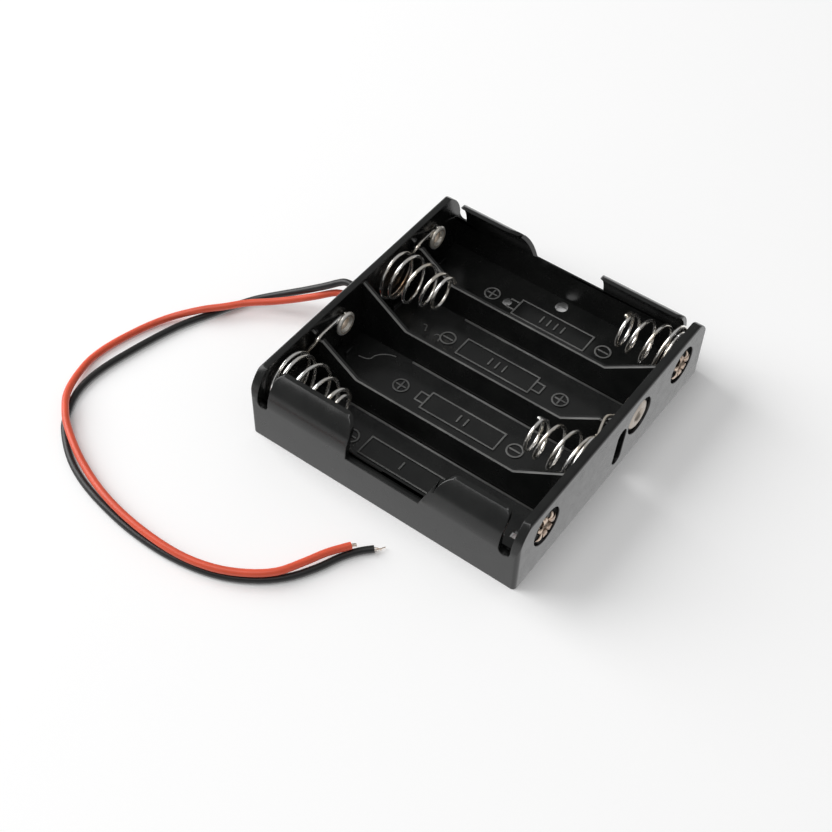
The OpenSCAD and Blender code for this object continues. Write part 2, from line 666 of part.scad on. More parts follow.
black_route = [
    [-out_x - seat, exit_y + 0.3, black_z], [-29.7, 1.57, 9.33], [-31, 1.7, 9.51],
    [-33, 1.7, 9.34], [-34.5, 1.2, 8.65], [-36.6, 0.05, 7.45],
    [-40.6, -1.7, 5.2], [-45, -3.6, 2.9], [-49, -6.1, 1.2], [-51.3, -9.2, 0.7],
    [-53.7, -14.2, 0.7], [-56.8, -21, 0.7], [-59.4, -30.9, 0.7], [-60.7, -38.9, 0.7],
    [-60.1, -44.9, 0.7], [-57.4, -50.2, 0.7], [-54.8, -53.1, 0.7], [-49.8, -56.6, 0.7],
    [-43.9, -59, 0.7], [-36.6, -60.6, 0.7], [-29.2, -61.4, 0.7], [-21.3, -61.2, 0.7],
    [-13.7, -59.6, 0.7], [-7.8, -56.7, 0.7], [-3.3, -52.8, 0.7], [-0.4, -48.3, 0.7],
    [1.5, -44, 0.7], [3.2, -41.2, 0.7], [5.1, -39.1, 0.7]];

module red_lead_run() { color([0.75, 0.15, 0.12]) held_run(1, red_run()); }
module black_lead_run() { color([0.06, 0.06, 0.06]) held_run(4, black_run()); }
function above_table(p) = [for (q = p) [q[0], q[1], max(q[2], lead_d / 2)]];
module red_lead() {
    color([0.75, 0.15, 0.12]) tube(above_table(smooth(red_route, 2)), lead_d);
}
module black_lead() {
    color([0.06, 0.06, 0.06]) tube(above_table(smooth(black_route, 2)), lead_d);
}

// Bare end of a lead: runs on from the last point of its route
module bare_tip(route, length, d) {
    end = route[len(route) - 1];
    way = unit(end - route[len(route) - 2]);
    start = end + seat * way;
    tube([for (t = [0, 0.35, 0.7, 1]) start + length * t * way - [0, 0, 0.1 * t]], d);
}
module red_tip() { color([0.8, 0.6, 0.4]) bare_tip(red_route, 0.8, core_d); }
module black_tip() { color([0.8, 0.6, 0.4]) bare_tip(black_route, 2, core_d / 2); }

tray();
jumper_spring_12();
jumper_spring_34();
jumper_spring_23();
terminal_spring();
eyelet_left_2();
eyelet_left_4();
eyelet_right_3();
star_rivet_right_1();
star_rivet_right_4();
solder_tag_red();
solder_tag_black();
solder_joint_red();
solder_joint_black();
red_lead_run();
black_lead_run();
red_lead();
black_lead();
red_tip();
black_tip();
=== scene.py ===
"""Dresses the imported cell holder: finishes, detailed metal pieces, leads, light and camera."""
from __future__ import annotations

import logging
import math
from dataclasses import dataclass, field
from enum import Enum
from typing import Callable

import bmesh
import bpy
from mathutils import Matrix, Vector

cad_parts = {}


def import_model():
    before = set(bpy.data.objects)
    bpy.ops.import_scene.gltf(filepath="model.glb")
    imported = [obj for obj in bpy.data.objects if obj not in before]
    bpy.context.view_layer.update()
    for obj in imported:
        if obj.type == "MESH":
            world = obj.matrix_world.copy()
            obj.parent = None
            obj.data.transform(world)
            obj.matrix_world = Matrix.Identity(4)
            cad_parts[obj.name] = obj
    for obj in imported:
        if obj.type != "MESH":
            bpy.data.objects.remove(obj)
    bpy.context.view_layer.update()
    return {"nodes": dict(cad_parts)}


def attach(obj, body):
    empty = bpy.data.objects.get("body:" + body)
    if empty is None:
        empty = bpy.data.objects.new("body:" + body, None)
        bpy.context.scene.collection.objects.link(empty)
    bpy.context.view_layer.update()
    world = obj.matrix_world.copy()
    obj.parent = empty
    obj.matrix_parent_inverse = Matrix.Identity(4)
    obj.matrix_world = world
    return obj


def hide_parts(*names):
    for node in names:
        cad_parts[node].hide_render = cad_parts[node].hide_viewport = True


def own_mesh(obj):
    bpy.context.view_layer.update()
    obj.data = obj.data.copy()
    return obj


log = logging.getLogger("cell_holder")

MM = 0.001  # one millimetre, in metres
Point = tuple[float, float, float]

# The tray, in millimetres
RIBS = (1, 2, 3)
PITCH = 15.1  # from one cell's axis to the next
IN_X = 27.05  # inner face of an end wall
OUT_X = 28.75  # outer face of an end wall
AXIS_Z = 9.05  # height of the cells' axes
FLOOR_Z = 1.8  # top of the floor
NOTCH_Z = 13.155  # height of a link wire's middle in a rib's notch
EXIT_Y = 1.5  # line of the leads behind the middle rib
SIGN_TOP = (2.0, 2.1)  # range of heights for the tops of the raised marks
RIB_TOP_Z = 7.3  # a rib's upper edge is higher than this all along
RIB_STRIP = (-0.56, -0.06)  # range from a rib's middle in which its upper edge gets the painted highlight
RIB_CUT = 0.08  # how far from a rib's middle the painted-highlight strip is cut off

# Wires, eyelets and leads, in millimetres
WIRE_R = 0.35
RING_R = 1.9  # radius of the ring that a wire makes round an eyelet
RING_DEG = (438, 118)  # where that ring starts and ends, in degrees
BED_X = 26.68  # middle of a wire that lies on an end wall
CLAMP_X = 26.26  # middle of a wire that is clamped on a tag
FIRST_R = {1: 5.7, 2: 5.5, 3: 5.35}  # radius at which the spring of each cell leaves its link
TERMINAL_R = 4.8  # the same for the terminal spring
TERMINAL_OFF = 1.3  # how far the terminal spring's axis stands off its rivet's
EYE_UP = 0.7  # how far the left eyelets stand above the cells' axes
EYE_OFF = {2: 0.4, 4: -0.6}  # how far they stand beside them, in cells 2 and 4
RING_CLAMP = 0.72  # thickness of a ring under an eyelet's head
TAG_CLAMP = {1: 0.42, 4: 1.14}  # a tag under a rivet's head, and in cell 4 a ring with it
BORE_REACH = 1.2  # inside this radius an eyelet has its bore's finish
SHADE_BAND = (1.7, 1.9)  # and between these two as well, on the heads of the left eyelets, as a band of painted shade on the crest; no groove is modelled there
PETAL_CURLS = (1.0, 0.6, 0.95, 0.7, 0.5, 0.85, 0.75)
PETAL_START = 0.3  # angle of the first petal, in radians
LEAD_R = 0.7
CHANNEL_Z = 0.75  # height of a lead's middle under the floor
RED_Z = 6.4  # height of the red lead in the wall
BLACK_Z = 9.3  # height of the black lead in the wall

# How CAD nodes are rounded
MERGE_DIST = 2e-6  # corners closer than this, in metres, are one
FLAT_DEG = 0.6  # faces that differ by less are one
SHARP_DEG = 35  # edges sharper than this are rounded
SHORT_EDGE = 0.06  # edges shorter than this, in millimetres, stay as they are
CREASE_DEG = 40  # edges sharper than this are shaded as creases
BEVEL_FACES = 3  # faces that go round an edge
TRAY_ROUND = 0.14  # how far the rounding reaches on the tray, in millimetres
TAG_ROUND = 0.06  # and on the tags


def mm(points: list[Point]) -> list[Vector]:
    """Turns points in millimetres into vectors in metres."""
    return [Vector(p) * MM for p in points]


def smooth_path(points: list[Vector], steps: int) -> list[Vector]:
    """Runs a smooth curve through given points.

    Args:
        points: the points that the curve passes.
        steps: how many pieces the curve gets between two of them.

    Returns:
        The points of the curve, both ends among them.
    """
    path: list[Vector] = []
    last = len(points) - 1
    for i in range(last):
        a, b, c, d = (points[max(i - 1, 0)], points[i], points[i + 1], points[min(i + 2, last)])
        for s in range(steps):
            t = s / steps
            path.append(0.5 * (2 * b + (c - a) * t + (2 * a - 5 * b + 4 * c - d) * t * t
                               + (3 * b - a - 3 * c + d) * t ** 3))
    path.append(points[-1].copy())
    return path


def place(obj: bpy.types.Object) -> bpy.types.Object:
    """Links an object to the scene."""
    bpy.context.scene.collection.objects.link(obj)
    return obj


def from_bmesh(name: str, bm: bmesh.types.BMesh, material: bpy.types.Material,
               smooth: bool = True) -> bpy.types.Object:
    """Makes an object of a finished bmesh.

    Args:
        name: the piece's name.
        bm: the shape, which is freed.
        material: the piece's finish.
        smooth: whether its faces are shaded smooth.

    Returns:
        The linked object, at the origin.
    """
    mesh = bpy.data.meshes.new(name)
    bm.to_mesh(mesh)
    bm.free()
    mesh.materials.append(material)
    if smooth:
        mesh.shade_smooth()
    return place(bpy.data.objects.new(name, mesh))


def frames_along(path: list[Vector]) -> list[Matrix]:
    """Gives each point of a path a frame whose Z runs along the path, without twist."""
    last = len(path) - 1
    heading = [(path[min(i + 1, last)] - path[max(i - 1, 0)]).normalized()
               for i in range(last + 1)]
    normal = heading[0].orthogonal().normalized()
    frames = []
    for point, z in zip(path, heading):
        normal = (normal - normal.dot(z) * z).normalized()
        turn = Matrix((normal, z.cross(normal), z)).transposed().to_4x4()
        frames.append(Matrix.Translation(point) @ turn)
    return frames


def sweep(bm: bmesh.types.BMesh, path: list[Vector], radius: float, sides: int = 10) -> None:
    """Drags a circle along a path into a closed round rod.

    Args:
        bm: the bmesh that gets the rod.
        path: the middle line, in metres.
        radius: the rod's radius, in metres.
        sides: how many sides its section has.
    """
    frames = frames_along(path)
    start = bmesh.ops.create_circle(bm, cap_ends=True, radius=radius, segments=sides,
                                    matrix=frames[0])["verts"]
    ring = list({edge for vert in start for edge in vert.link_edges})
    for before, now in zip(frames, frames[1:]):
        made = bmesh.ops.extrude_edge_only(bm, edges=ring)["geom"]
        verts = [g for g in made if isinstance(g, bmesh.types.BMVert)]
        fresh = set(verts)
        ring = [g for g in made if isinstance(g, bmesh.types.BMEdge) and set(g.verts) <= fresh]
        bmesh.ops.transform(bm, matrix=now @ before.inverted(), verts=verts)
    bmesh.ops.contextual_create(bm, geom=ring)
    bmesh.ops.recalc_face_normals(bm, faces=bm.faces)


def lathe(bm: bmesh.types.BMesh, profile: list[tuple[float, float]],
          centre: tuple[float, float], steps: int = 48) -> None:
    """Turns a closed profile round an axis along X.

    Args:
        bm: the bmesh that gets the turned shape.
        profile: points (x, radius) in millimetres, in order round the section.
        centre: the axis's (y, z), in millimetres.
        steps: how many steps the full turn has.
    """
    y, z = centre
    verts = [bm.verts.new(Vector((x, y, z + r)) * MM) for x, r in profile]
    edges = [bm.edges.new(pair) for pair in zip(verts, verts[1:] + verts[:1])]
    bmesh.ops.spin(bm, geom=verts + edges, cent=Vector((0, y, z)) * MM, axis=(1, 0, 0),
                   angle=math.tau, steps=steps, use_merge=True)
    bmesh.ops.recalc_face_normals(bm, faces=bm.faces)


def rounded_copy(node: bpy.types.Object, name: str, finishes: list[bpy.types.Material],
                 radius: float, paints_highlight: Callable[[Vector, Vector], bool] | None = None
                 ) -> bpy.types.Object:
    """Copies a CAD node, rounds the edges that stand out and marks the faces that get a painted
    highlight.

    Where faces can get a painted highlight, the shape is first cut along each rib, so that a strip
    of its top can have the lighter finish that paints the highlight.

    Args:
        node: the CAD node, which stays as it is and is replaced.
        name: the new piece's name.
        finishes: its finish, and the lighter one painted as highlight on the chosen faces.
        radius: how far the rounding reaches from each edge, in metres.
        paints_highlight: tells from a face's middle, in millimetres, and its normal whether it
            gets the painted highlight.

    Returns:
        The piece, which rides on the tray's body.
    """
    bm = bmesh.new()
    bm.from_mesh(node.data)
    bmesh.ops.remove_doubles(bm, verts=bm.verts, dist=MERGE_DIST)
    bmesh.ops.dissolve_limit(bm, angle_limit=math.radians(FLAT_DEG), verts=bm.verts,
                             edges=bm.edges)
    sharp = [e for e in bm.edges if e.is_manifold and e.is_convex
             and e.calc_face_angle(0) > math.radians(SHARP_DEG)
             and e.calc_length() > SHORT_EDGE * MM]
    bmesh.ops.bevel(bm, geom=sharp, offset=radius, offset_type="OFFSET", segments=BEVEL_FACES,
                    profile=0.5, affect="EDGES", clamp_overlap=False, material=-1)
    if paints_highlight is not None:
        for n in RIBS:
            bmesh.ops.bisect_plane(bm, geom=bm.verts[:] + bm.edges[:] + bm.faces[:], dist=1e-6,
                                   plane_co=Vector((0, rib_y(n) - RIB_CUT, 0)) * MM,
                                   plane_no=(0, 1, 0))
        bm.normal_update()
        for face in bm.faces:
            if paints_highlight(face.calc_center_median() / MM, face.normal):
                face.material_index = 1
    obj = from_bmesh(name, bm, finishes[0])
    for finish in finishes[1:]:
        obj.data.materials.append(finish)
    obj.data.set_sharp_from_angle(angle=math.radians(CREASE_DEG))
    obj.modifiers.new("flat_faces", "WEIGHTED_NORMAL").keep_sharp = True
    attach(obj, "holder")
    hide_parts(node.name)
    return obj


class Shader:
    """Small helper that builds one procedural material out of nodes."""

    def __init__(self, name: str) -> None:
        """Starts a material with a Principled shader."""
        self.material = bpy.data.materials.new(name)
        self.material.use_nodes = True
        self.tree = self.material.node_tree
        self.shader = self.tree.nodes["Principled BSDF"]

    def node(self, kind: str, **values: object) -> bpy.types.Node:
        """Adds a node and sets its properties."""
        made = self.tree.nodes.new(kind)
        for key, value in values.items():
            setattr(made, key, value)
        return made

    def link(self, a: bpy.types.NodeSocket, b: bpy.types.NodeSocket) -> None:
        """Joins two sockets."""
        self.tree.links.new(a, b)

    def set(self, **values: object) -> None:
        """Sets sockets of the Principled shader, with _ for the spaces in their names."""
        for key, value in values.items():
            self.shader.inputs[key.replace("_", " ")].default_value = value

    def noise(self, scale: float, detail: float) -> bpy.types.NodeSocket:
        """Adds noise on Object coordinates.

        Args:
            scale: the noise's scale, in cells for each metre.
            detail: its octaves.

        Returns:
            The noise's Fac socket.
        """
        coord = self.node("ShaderNodeTexCoord")
        noise = self.node("ShaderNodeTexNoise")
        noise.inputs["Scale"].default_value = scale
        noise.inputs["Detail"].default_value = detail
        self.link(coord.outputs["Object"], noise.inputs["Vector"])
        return noise.outputs["Fac"]

    def ramp(self, fac: bpy.types.NodeSocket,
             stops: list[tuple[float, tuple[float, float, float]]]) -> bpy.types.NodeSocket:
        """Colours a value with a ramp of (position, colour) stops."""
        ramp = self.node("ShaderNodeValToRGB")
        elements = ramp.color_ramp.elements
        while len(elements) < len(stops):
            elements.new(0.5)
        for element, (position, colour) in zip(elements, stops):
            element.position = position
            element.color = (*colour, 1)
        self.link(fac, ramp.inputs["Fac"])
        return ramp.outputs["Color"]

    def blend(self, fac: bpy.types.NodeSocket, under: bpy.types.NodeSocket,
              over: tuple[float, float, float]) -> bpy.types.NodeSocket:
        """Lays a colour over another one where fac is high."""
        mix = self.node("ShaderNodeMix", data_type="RGBA")
        self.link(fac, mix.inputs["Factor"])
        self.link(under, mix.inputs[6])
        mix.inputs[7].default_value = (*over, 1)
        return mix.outputs[2]

    def spot(self, at: tuple[float, float, float], reach: float) -> bpy.types.NodeSocket:
        """Gives a soft ball of 1 at a place, in millimetres, that fades to 0 at its reach."""
        coord = self.node("ShaderNodeTexCoord")
        mapping = self.node("ShaderNodeMapping")
        scale = 1 / (reach * MM)
        mapping.inputs["Scale"].default_value = (scale, scale, scale)
        mapping.inputs["Location"].default_value = tuple(-a / reach for a in at)
        ball = self.node("ShaderNodeTexGradient", gradient_type="SPHERICAL")
        self.link(coord.outputs["Object"], mapping.inputs["Vector"])
        self.link(mapping.outputs["Vector"], ball.inputs["Vector"])
        return ball.outputs["Fac"]

    def bump(self, height: bpy.types.NodeSocket, strength: float, distance: float) -> None:
        """Bumps the surface by a height, with distance in metres."""
        bump = self.node("ShaderNodeBump")
        bump.inputs["Strength"].default_value = strength
        bump.inputs["Distance"].default_value = distance
        self.link(height, bump.inputs["Height"])
        self.link(bump.outputs["Normal"], self.shader.inputs["Normal"])

    def spread(self, fac: bpy.types.NodeSocket, low: float, high: float) -> bpy.types.NodeSocket:
        """Maps a value from 0..1 to low..high."""
        remap = self.node("ShaderNodeMapRange")
        remap.inputs["To Min"].default_value = low
        remap.inputs["To Max"].default_value = high
        self.link(fac, remap.inputs["Value"])
        return remap.outputs["Result"]


@dataclass(frozen=True)
class MouldedBlack:
    """Glossy black plastic of the tray, with faint clouding and a fine moulding grain.

    Scales are in cells for each metre, here and in the other finishes; depths are in metres.
    """

    name: str = "moulded_black"
    colour: tuple[float, float, float] = (0.0055, 0.006, 0.0058)
    cloud: tuple[float, float, float] = (0.0105, 0.011, 0.0105)
    roughness: float = 0.2
    cloud_scale: float = 210
    gloss_scale: float = 520
    grain_scale: float = 2400
    grain_depth: float = 0.00002

    def make(self) -> bpy.types.Material:
        """Builds the material."""
        sh = Shader(self.name)
        sh.set(IOR=1.5)
        sh.link(sh.ramp(sh.noise(self.cloud_scale, 6), [(0.35, self.colour), (0.68, self.cloud)]),
                sh.shader.inputs["Base Color"])
        gloss = sh.noise(self.gloss_scale, 4)
        sh.link(sh.spread(gloss, self.roughness - 0.06, self.roughness + 0.14),
                sh.shader.inputs["Roughness"])
        sh.bump(sh.noise(self.grain_scale, 3), 0.16, self.grain_depth)
        return sh.material


@dataclass(frozen=True)
class Plated:
    """Plated metal with a tint that comes and goes, and an optional stain at one place.

    The stain's place and reach are in millimetres.
    """

    name: str
    colour: tuple[float, float, float] = (0.9, 0.89, 0.86)
    warm: tuple[float, float, float] = (0.8, 0.72, 0.6)
    roughness: float = 0.14
    metallic: float = 1.0
    grain: float = 0.05
    stain_at: tuple[float, float, float] | None = None
    stain_reach: float = 3.0
    stain: tuple[float, float, float] = (0.42, 0.2, 0.055)
    tint_scale: float = 260
    gloss_scale: float = 1400
    grain_scale: float = 2800
    grain_depth: float = 0.00002

    def make(self) -> bpy.types.Material:
        """Builds the material."""
        sh = Shader(self.name)
        sh.set(Metallic=self.metallic)
        colour = sh.ramp(sh.noise(self.tint_scale, 3), [(0.42, self.colour), (0.72, self.warm)])
        if self.stain_at is not None:
            colour = sh.blend(sh.spot(self.stain_at, self.stain_reach), colour, self.stain)
        sh.link(colour, sh.shader.inputs["Base Color"])
        gloss = sh.noise(self.gloss_scale, 2)
        sh.link(sh.spread(gloss, self.roughness - 0.05, self.roughness + 0.12),
                sh.shader.inputs["Roughness"])
        sh.bump(sh.noise(self.grain_scale, 2), self.grain, self.grain_depth)
        return sh.material


@dataclass(frozen=True)
class LeadSkin:
    """Satin insulation of a lead."""

    name: str
    colour: tuple[float, float, float]
    roughness: float = 0.38
    cloud_scale: float = 160
    gloss_scale: float = 700
    grain_scale: float = 1800
    grain_depth: float = 0.00003

    def make(self) -> bpy.types.Material:
        """Builds the material."""
        sh = Shader(self.name)
        sh.set(IOR=1.5)
        shade = tuple(c * 0.86 for c in self.colour)
        sh.link(sh.ramp(sh.noise(self.cloud_scale, 3), [(0.35, shade), (0.7, self.colour)]),
                sh.shader.inputs["Base Color"])
        gloss = sh.noise(self.gloss_scale, 3)
        sh.link(sh.spread(gloss, self.roughness - 0.05, self.roughness + 0.08),
                sh.shader.inputs["Roughness"])
        sh.bump(sh.noise(self.grain_scale, 3), 0.15, self.grain_depth)
        return sh.material


def cell_y(n: int) -> float:
    """Gives the Y of cell n's axis, in millimetres."""
    return (n - 2.5) * PITCH


def rib_y(n: int) -> float:
    """Gives the Y of the rib between cells n and n + 1, in millimetres."""
    return (n - 2) * PITCH


def arc(centre: tuple[float, float], r: float, x: float, a0: float, a1: float,
        steps: int = 36) -> list[Point]:
    """Runs an arc round a contact's axis.

    Args:
        centre: the axis's (y, z).
        r: the arc's radius.
        x: its place along X.
        a0: its first angle, in degrees.
        a1: its last angle, in degrees.
        steps: how many steps it has.

    Returns:
        Its points, in millimetres.
    """
    angles = [math.radians(a0 + (a1 - a0) * i / steps) for i in range(steps + 1)]
    return [(x, centre[0] + r * math.cos(a), centre[1] + r * math.sin(a)) for a in angles]


@dataclass
class ContactSpring:
    """Conical contact spring: the coils that a cell presses, and the wire that leads to them.

    Lengths are in millimetres. Side is -1 at the left end wall and 1 at the right one. Turns
    are the (rise, radius) at every whole turn, and lean is how far the free end stands off.
    """

    node: str
    body: str
    joint: str
    side: int
    y: float
    z: float
    turns: list[tuple[float, float]]
    link: list[Point]
    lean: tuple[float, float] = (0.0, 0.0)
    start_deg: float = 0.0
    bed_x: float = BED_X
    travel: float = 9.0

    def coil(self, steps: int = 40) -> list[Point]:
        """Runs the middle line of the coils, from the wall to the free end."""
        points = []
        last = len(self.turns) - 1
        for i in range(last * steps + 1):
            t = i / steps
            k = min(int(t), last - 1)
            (rise, r), (rise_to, r_to) = self.turns[k:k + 2]
            rise, r = rise + (rise_to - rise) * (t - k), r + (r_to - r) * (t - k)
            share = rise / self.turns[-1][0]
            a = math.radians(self.start_deg + self.side * 360 * t)
            points.append((self.side * (self.bed_x - rise),
                           self.y + self.lean[0] * share + r * math.cos(a),
                           self.z + self.lean[1] * share + r * math.sin(a)))
        return points

    def rod(self, name: str, points: list[Point], body: str,
            wire: bpy.types.Material) -> bpy.types.Object:
        """Makes one stretch of the wire.

        Args:
            name: the piece's name.
            points: its middle line.
            body: the body that it rides on.
            wire: its finish.

        Returns:
            The piece.
        """
        bm = bmesh.new()
        sweep(bm, mm(points), WIRE_R * MM)
        obj = from_bmesh(name, bm, wire)
        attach(obj, body)
        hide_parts(self.node)
        return obj

    def build(self, wire: bpy.types.Material) -> list[bpy.types.Object]:
        """Makes the fixed wire, and the coils, on their own body and with their own mesh."""
        coil = self.coil()
        fixed = self.rod(self.node + "_link", self.link + [coil[0]], "holder", wire)
        coils = self.rod(self.node + "_coils", coil, self.body, wire)
        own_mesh(coils)
        return [fixed, coils]


def left_eye(n: int) -> tuple[float, float]:
    """Gives the (y, z) of the left eyelet in cell n, in millimetres."""
    return cell_y(n) + EYE_OFF[n], AXIS_Z + EYE_UP


def left_link(n: int, eye: tuple[float, float],
              spring: tuple[float, float, float]) -> list[Point]:
    """Runs the wire of a left jumper: round its eyelet, over rib n and down to its first coil.

    Args:
        n: the cell whose spring the jumper feeds.
        eye: the eyelet's (y, z).
        spring: the first coil's (y, z, radius).

    Returns:
        Its middle line, in millimetres.
    """
    y = rib_y(n)
    leave = math.radians(RING_DEG[0])
    top_y, top_z = eye[0] - RING_R * math.cos(leave), eye[1] + RING_R * math.sin(leave)
    foot = spring[0] + spring[2]
    bends = [(-BED_X, top_y, top_z), (-BED_X + 0.1, top_y - 1.5, top_z + 0.3),
             (-25.8, y + 1.2, NOTCH_Z), (-25.6, y - 0.6, NOTCH_Z), (-25.9, y - 1.2, NOTCH_Z - 0.9),
             (-BED_X, foot, spring[1] + 1.6), (-BED_X, foot, spring[1] + 0.6)]
    ring = arc(eye, RING_R, -BED_X, *RING_DEG)
    return ring[:-1] + [tuple(p) for p in smooth_path([Vector(b) for b in bends], 6)]


def right_link() -> list[Point]:
    """Runs the wire of the right jumper: round eyelet 3, over rib 2, onto the spring of cell 2."""
    eye = (cell_y(3), AXIS_Z)
    start = arc(eye, RING_R, BED_X, *RING_DEG)
    foot, r = math.radians(50), FIRST_R[2]
    bends = [start[-1], (BED_X - 0.2, 2.5, NOTCH_Z - 0.8), (25.7, 0.8, NOTCH_Z),
             (25.7, -0.6, NOTCH_Z),
             (BED_X, cell_y(2) + r * math.cos(foot), AXIS_Z + r * math.sin(foot) + 0.1)]
    return start[:-1] + [tuple(p) for p in smooth_path([Vector(b) for b in bends], 6)]


def terminal_link() -> list[Point]:
    """Runs the wire of the terminal spring: a clamped ring that opens flat into its first coil."""
    ring = arc((cell_y(4), AXIS_Z), RING_R, CLAMP_X, -240, 68)
    spread = []
    steps = 40
    for i in range(steps):
        t = i / steps
        a, r = math.radians(90 + 360 * t), RING_R + (TERMINAL_R - RING_R) * t
        spread.append((CLAMP_X, cell_y(4) + TERMINAL_OFF * t + r * math.cos(a),
                       AXIS_Z + r * math.sin(a)))
    return ring + spread


def contact_springs() -> list[ContactSpring]:
    """Lists the four springs, each with its wire."""
    y1, y3, z3 = cell_y(1) - 0.4, cell_y(3) + 1.3, AXIS_Z + 0.85
    return [
        ContactSpring("jumper_spring_12", "jumper_spring_12_wire", "spring_1_press", -1, y1,
                      AXIS_Z, [(0, FIRST_R[1]), (0.72, 5), (2, 5.1), (5.5, 5), (8.4, 3.8),
                               (11.3, 3.3), (11.9, 2.5)],
                      left_link(1, left_eye(2), (y1, AXIS_Z, FIRST_R[1])), lean=(0.2, -0.9)),
        ContactSpring("jumper_spring_34", "jumper_spring_34_wire", "spring_3_press", -1, y3, z3,
                      [(0, FIRST_R[3]), (0.75, 4.5), (3.3, 4.7), (6.6, 4), (9.9, 3.4),
                       (11.2, 3.2)],
                      left_link(3, left_eye(4), (y3, z3, FIRST_R[3])), lean=(1.0, 0.6)),
        ContactSpring("jumper_spring_23", "jumper_spring_23_wire", "spring_2_press", 1,
                      cell_y(2), AXIS_Z, [(0, FIRST_R[2]), (0.75, 4.8), (3.85, 4.27),
                                          (6.95, 3.73), (10.05, 3.2), (10.8, 3.2)],
                      right_link(), start_deg=62),
        ContactSpring("terminal_spring", "terminal_spring_wire", "spring_4_press", 1,
                      cell_y(4) + TERMINAL_OFF, AXIS_Z,
                      [(0, TERMINAL_R), (0.75, 5.5), (3.85, 4.2), (6.95, 3.7), (10.05, 3.3),
                       (10.8, 3.3)], terminal_link(), start_deg=90, bed_x=CLAMP_X),
    ]


class Tail(Enum):
    """How an eyelet's outer end is spread."""

    ROLLED = "rolled"
    STAR = "star"


@dataclass
class Eyelet:
    """Tubular rivet through an end wall, in millimetres.

    Side is -1 or 1 as for the springs, under is the thickness of what the head clamps, and
    petal_t that of a star's petals.
    """

    node: str
    side: int
    centre: tuple[float, float]
    under: float
    tail: Tail = Tail.ROLLED
    petal_t: float = 0.2

    def section(self) -> list[tuple[float, float]]:
        """Gives the closed section, from the bore round the head and the barrel to the tail."""
        top = IN_X - self.under - 0.02
        head = [(top + 0.3, 1.12), (top - 0.05, 1.2), (top - 0.36, 1.42), (top - 0.56, 1.68),
                (top - 0.64, 1.94), (top - 0.6, 2.18), (top - 0.44, 2.38), (top - 0.22, 2.48),
                (top - 0.06, 2.42), (top, 2.2), (top, 1.5)]
        if self.tail is Tail.STAR:
            return head + [(28.0, 1.5), (28.25, 1.5), (28.25, 1.12)]
        return head + [(27.87, 1.5), (27.88, 2.6), (27.92, 2.85), (28.02, 3.02), (28.18, 3.06),
                       (28.36, 2.94), (28.52, 2.64), (28.62, 2.24), (28.65, 1.9), (28.6, 1.6),
                       (28.44, 1.34), (28.16, 1.2), (27.9, 1.12)]

    def petal(self, bm: bmesh.types.BMesh, angle: float, curl: float) -> None:
        """Adds one curled petal of a star, turned to its angle, with its reach times curl."""
        y, z = self.centre
        bends = [(28.1, 1.32, 1.3), (28.4, 1.5, 1.26), (28.6, 1.86, 1.2), (28.66, 2.3, 1.1),
                 (28.56, 2.75, 0.9), (28.32, 3.1, 0.6), (28.08, 3.24, 0.34)]
        x, r, w = bends[0]
        ends = [bm.verts.new(Vector((x, y + s * w / 2, z + r)) * MM) for s in (-1, 1)]
        made: list = [bm.edges.new(ends)]
        faces = []
        for (x0, r0, w0), (x1, r1, w1) in zip(bends, bends[1:]):
            edge = [g for g in made if isinstance(g, bmesh.types.BMEdge)][:1]
            made = bmesh.ops.extrude_edge_only(bm, edges=edge)["geom"]
            verts = [g for g in made if isinstance(g, bmesh.types.BMVert)]
            faces += [g for g in made if isinstance(g, bmesh.types.BMFace)]
            bmesh.ops.scale(bm, vec=(1, w1 / w0, 1), verts=verts,
                            space=Matrix.Translation(Vector((0, -y * MM, 0))))
            bmesh.ops.translate(bm, vec=Vector((x1 - x0, 0, (r1 - r0) * curl)) * MM, verts=verts)
            made = [e for e in made if isinstance(e, bmesh.types.BMEdge)
                    and set(e.verts) == set(verts)]
        thick = bmesh.ops.solidify(bm, geom=faces, thickness=self.petal_t * MM)["geom"]
        verts = {v for f in faces for v in f.verts} | {
            g for g in thick if isinstance(g, bmesh.types.BMVert)}
        bmesh.ops.rotate(bm, verts=list(verts), cent=Vector((0, y, z)) * MM,
                         matrix=Matrix.Rotation(angle, 3, "X"))

    def build(self, plate: bpy.types.Material, bore: bpy.types.Material) -> bpy.types.Object:
        """Makes the eyelet, with a duller finish in its bore, and the same finish painted as shade
        in a band on a left head's crest.

        Args:
            plate: the finish of what shows outside.
            bore: the finish of the bore, also used for the band of painted shade.

        Returns:
            The piece.
        """
        bm = bmesh.new()
        lathe(bm, self.section(), self.centre)
        if self.tail is Tail.STAR:
            for k, curl in enumerate(PETAL_CURLS):
                self.petal(bm, math.tau * k / len(PETAL_CURLS) + PETAL_START, curl)
        if self.side < 0:
            bmesh.ops.mirror(bm, geom=bm.verts[:] + bm.edges[:] + bm.faces[:], axis="X",
                             merge_dist=-1)
            bmesh.ops.delete(bm, geom=[v for v in bm.verts if v.co.x > 0], context="VERTS")
        bmesh.ops.recalc_face_normals(bm, faces=bm.faces)
        y, z = self.centre
        for face in bm.faces:
            middle = face.calc_center_median() / MM
            reach = math.hypot(middle.y - y, middle.z - z)
            # A band round a left head's crest takes the darker bore finish as painted shade
            if reach < BORE_REACH or (self.side < 0 and SHADE_BAND[0] < reach < SHADE_BAND[1]):
                face.material_index = 1
        obj = from_bmesh(self.node + "_turned", bm, plate)
        obj.data.materials.append(bore)
        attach(obj, "holder")
        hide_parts(self.node)
        return obj


def eyelets() -> list[Eyelet]:
    """Lists the five eyelets."""
    return [
        Eyelet("eyelet_left_2", -1, left_eye(2), RING_CLAMP),
        Eyelet("eyelet_left_4", -1, left_eye(4), RING_CLAMP),
        Eyelet("eyelet_right_3", 1, (cell_y(3), AXIS_Z), RING_CLAMP),
        Eyelet("star_rivet_right_1", 1, (cell_y(1), AXIS_Z), TAG_CLAMP[1], Tail.STAR),
        Eyelet("star_rivet_right_4", 1, (cell_y(4), AXIS_Z), TAG_CLAMP[4], Tail.STAR),
    ]


